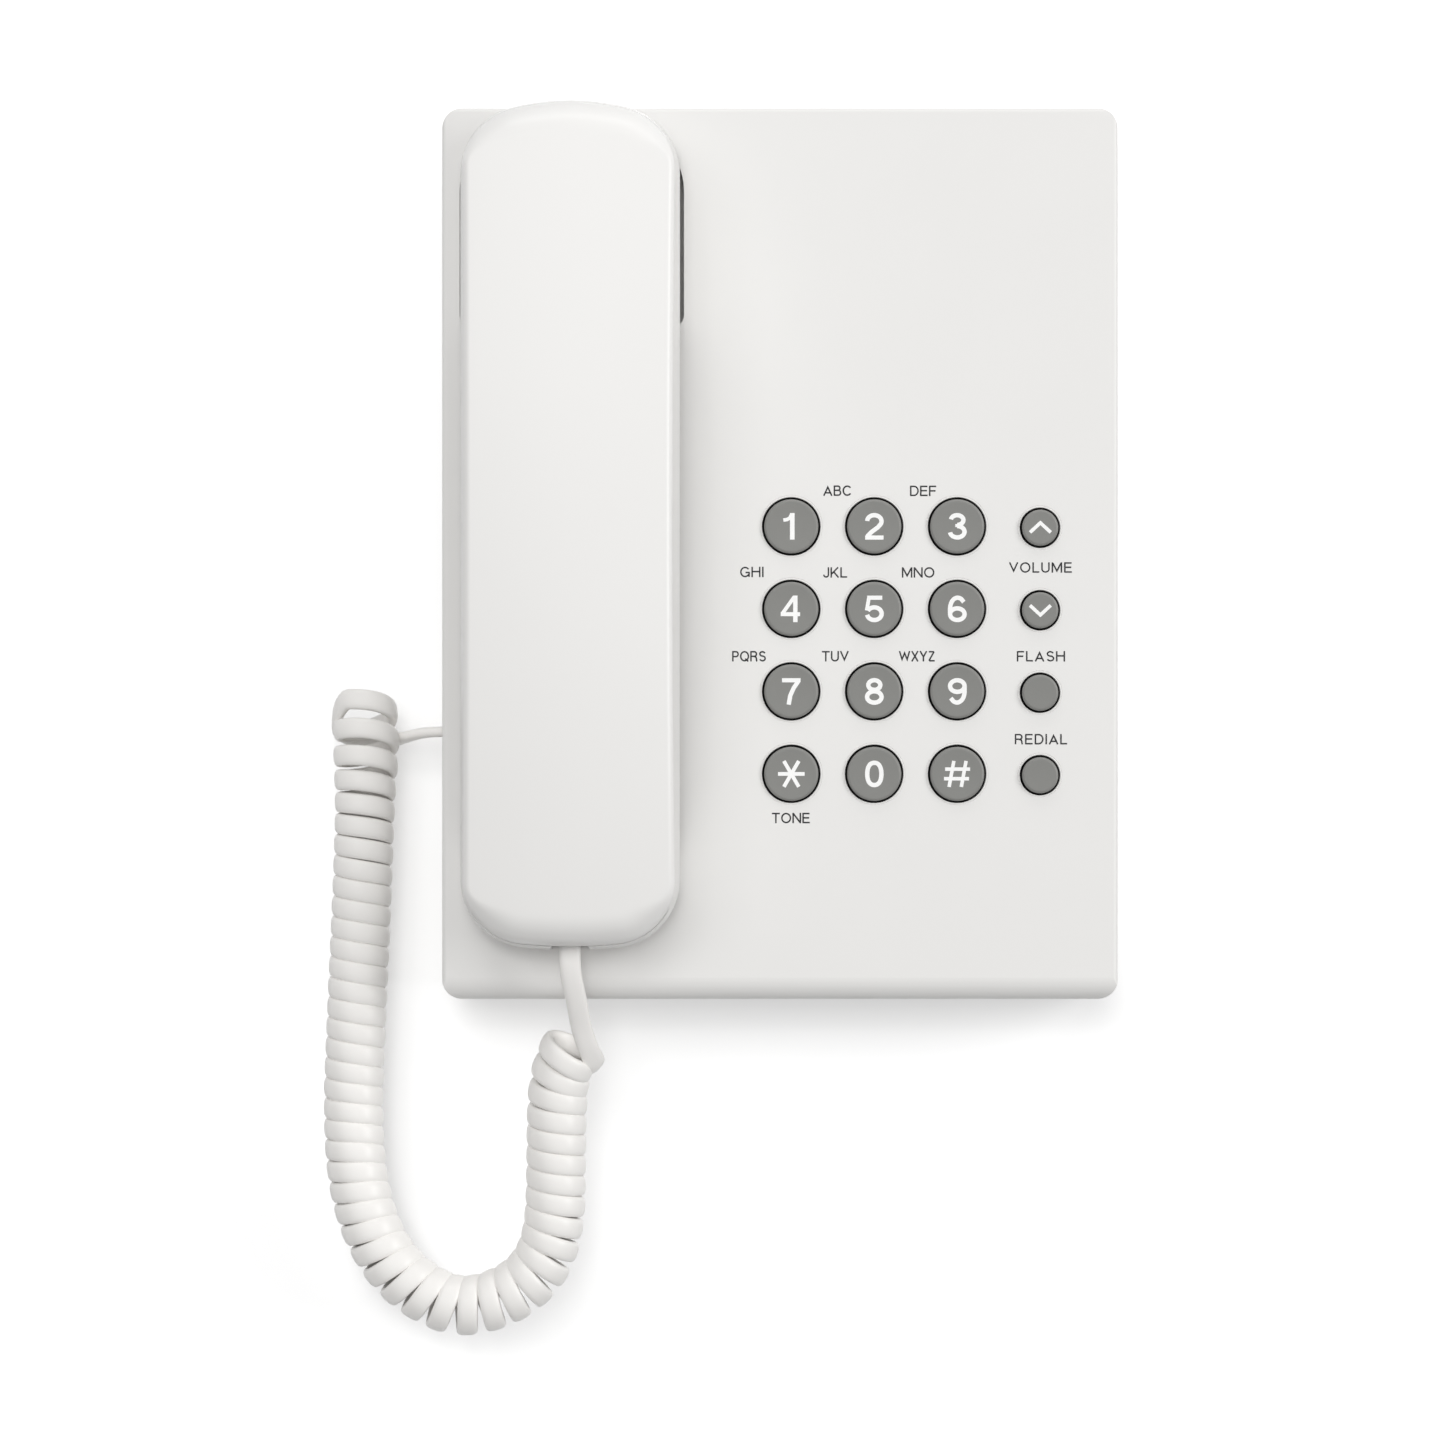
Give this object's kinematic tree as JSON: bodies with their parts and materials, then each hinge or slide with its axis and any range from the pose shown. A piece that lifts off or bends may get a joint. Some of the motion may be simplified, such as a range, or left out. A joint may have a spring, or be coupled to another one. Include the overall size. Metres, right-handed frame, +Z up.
{
  "type": "slimline wall phone",
  "caption": "Slimline corded wall phone: a flat upright base with a round-key dialling pad, a slim handset in wells down its left side, and a curly handset cord.",
  "frame": {"origin": "midway between the two wall keyholes, on the rear face of the back cover", "axes": "+X to the right seen from the front, +Z up the wall, the keypad faces -Y and the wall is at +Y"},
  "size_m": [0.1775, 0.0665, 0.2742],
  "materials": {
    "white_plastic": "satin",
    "key_plastic": "satin",
    "rubber": "matte",
    "steel": "satin",
    "circuit_board": "satin",
    "black_plastic": "satin",
    "clear_plastic": "glossy",
    "wire": "satin",
    "cord": "satin"
  },
  "bodies": {
    "base": {"top_cover": "white_plastic", "back_cover": "white_plastic", "rubber_feet": "rubber", "cover_screws": "steel", "main_board": "circuit_board", "board_screws": "steel", "board_parts": "black_plastic", "key_mat": "rubber", "ringer": "black_plastic", "ringer_switch": "steel", "dial_switch": "steel", "line_jack": "black_plastic", "cord_jack": "black_plastic", "hook_switch": "black_plastic", "hook_spring": "steel", "hanger_tab": "white_plastic", "base_wires": "wire", "base_plug": "clear_plastic", "cord_coil": "cord", "cord_lead_base": "cord"},
    "handset": {"handset_back": "white_plastic", "handset_front": "white_plastic", "handset_screws": "steel", "handset_weight": "steel", "handset_jack": "black_plastic", "receiver": "black_plastic", "receiver_ring": "rubber", "microphone": "steel", "mic_boot": "rubber", "handset_wires": "wire", "handset_plug": "clear_plastic", "cord_lead_handset": "cord"},
    "hook": {"hook_button": "white_plastic"},
    "ringer_slider": {"ringer_knob": "key_plastic"},
    "dial_slider": {"dial_knob": "key_plastic"},
    "key_1": {"key_1": "key_plastic"},
    "key_2": {"key_2": "key_plastic"},
    "key_3": {"key_3": "key_plastic"},
    "key_4": {"key_4": "key_plastic"},
    "key_5": {"key_5": "key_plastic"},
    "key_6": {"key_6": "key_plastic"},
    "key_7": {"key_7": "key_plastic"},
    "key_8": {"key_8": "key_plastic"},
    "key_9": {"key_9": "key_plastic"},
    "key_star": {"key_star": "key_plastic"},
    "key_0": {"key_0": "key_plastic"},
    "key_hash": {"key_hash": "key_plastic"},
    "key_volume_up": {"key_volume_up": "key_plastic"},
    "key_volume_down": {"key_volume_down": "key_plastic"},
    "key_flash": {"key_flash": "key_plastic"},
    "key_redial": {"key_redial": "key_plastic"}
  },
  "joints": [
    {"name": "handset_lift", "type": "slide", "parent": "base", "child": "handset", "axis": [0, -0.9397, 0.342], "range_m": [0, 0.035]},
    {"name": "hook_press", "type": "slide", "parent": "base", "child": "hook", "axis": [0, -1, 0], "range_m": [0, 0.004], "deforming": ["hook_spring"]},
    {"name": "ringer_slide", "type": "slide", "parent": "base", "child": "ringer_slider", "axis": [1, 0, 0], "range_m": [0, 0.006]},
    {"name": "dial_slide", "type": "slide", "parent": "base", "child": "dial_slider", "axis": [1, 0, 0], "range_m": [0, 0.003]},
    {"name": "key_1_press", "type": "slide", "parent": "base", "child": "key_1", "axis": [0, 1, 0], "range_m": [0, 0.0015], "stiffness_N_per_m": 600, "deforming": ["key_mat"]},
    {"name": "key_2_press", "type": "slide", "parent": "base", "child": "key_2", "axis": [0, 1, 0], "range_m": [0, 0.0015], "stiffness_N_per_m": 600, "deforming": ["key_mat"]},
    {"name": "key_3_press", "type": "slide", "parent": "base", "child": "key_3", "axis": [0, 1, 0], "range_m": [0, 0.0015], "stiffness_N_per_m": 600, "deforming": ["key_mat"]},
    {"name": "key_4_press", "type": "slide", "parent": "base", "child": "key_4", "axis": [0, 1, 0], "range_m": [0, 0.0015], "stiffness_N_per_m": 600, "deforming": ["key_mat"]},
    {"name": "key_5_press", "type": "slide", "parent": "base", "child": "key_5", "axis": [0, 1, 0], "range_m": [0, 0.0015], "stiffness_N_per_m": 600, "deforming": ["key_mat"]},
    {"name": "key_6_press", "type": "slide", "parent": "base", "child": "key_6", "axis": [0, 1, 0], "range_m": [0, 0.0015], "stiffness_N_per_m": 600, "deforming": ["key_mat"]},
    {"name": "key_7_press", "type": "slide", "parent": "base", "child": "key_7", "axis": [0, 1, 0], "range_m": [0, 0.0015], "stiffness_N_per_m": 600, "deforming": ["key_mat"]},
    {"name": "key_8_press", "type": "slide", "parent": "base", "child": "key_8", "axis": [0, 1, 0], "range_m": [0, 0.0015], "stiffness_N_per_m": 600, "deforming": ["key_mat"]},
    {"name": "key_9_press", "type": "slide", "parent": "base", "child": "key_9", "axis": [0, 1, 0], "range_m": [0, 0.0015], "stiffness_N_per_m": 600, "deforming": ["key_mat"]},
    {"name": "key_star_press", "type": "slide", "parent": "base", "child": "key_star", "axis": [0, 1, 0], "range_m": [0, 0.0015], "stiffness_N_per_m": 600, "deforming": ["key_mat"]},
    {"name": "key_0_press", "type": "slide", "parent": "base", "child": "key_0", "axis": [0, 1, 0], "range_m": [0, 0.0015], "stiffness_N_per_m": 600, "deforming": ["key_mat"]},
    {"name": "key_hash_press", "type": "slide", "parent": "base", "child": "key_hash", "axis": [0, 1, 0], "range_m": [0, 0.0015], "stiffness_N_per_m": 600, "deforming": ["key_mat"]},
    {"name": "key_volume_up_press", "type": "slide", "parent": "base", "child": "key_volume_up", "axis": [0, 1, 0], "range_m": [0, 0.0015], "stiffness_N_per_m": 600, "deforming": ["key_mat"]},
    {"name": "key_volume_down_press", "type": "slide", "parent": "base", "child": "key_volume_down", "axis": [0, 1, 0], "range_m": [0, 0.0015], "stiffness_N_per_m": 600, "deforming": ["key_mat"]},
    {"name": "key_flash_press", "type": "slide", "parent": "base", "child": "key_flash", "axis": [0, 1, 0], "range_m": [0, 0.0015], "stiffness_N_per_m": 600, "deforming": ["key_mat"]},
    {"name": "key_redial_press", "type": "slide", "parent": "base", "child": "key_redial", "axis": [0, 1, 0], "range_m": [0, 0.0015], "stiffness_N_per_m": 600, "deforming": ["key_mat"]}
  ],
  "couplings": [
    {"joint": "hook_press", "follows": "handset_lift", "ratio": 0.114}
  ]
}
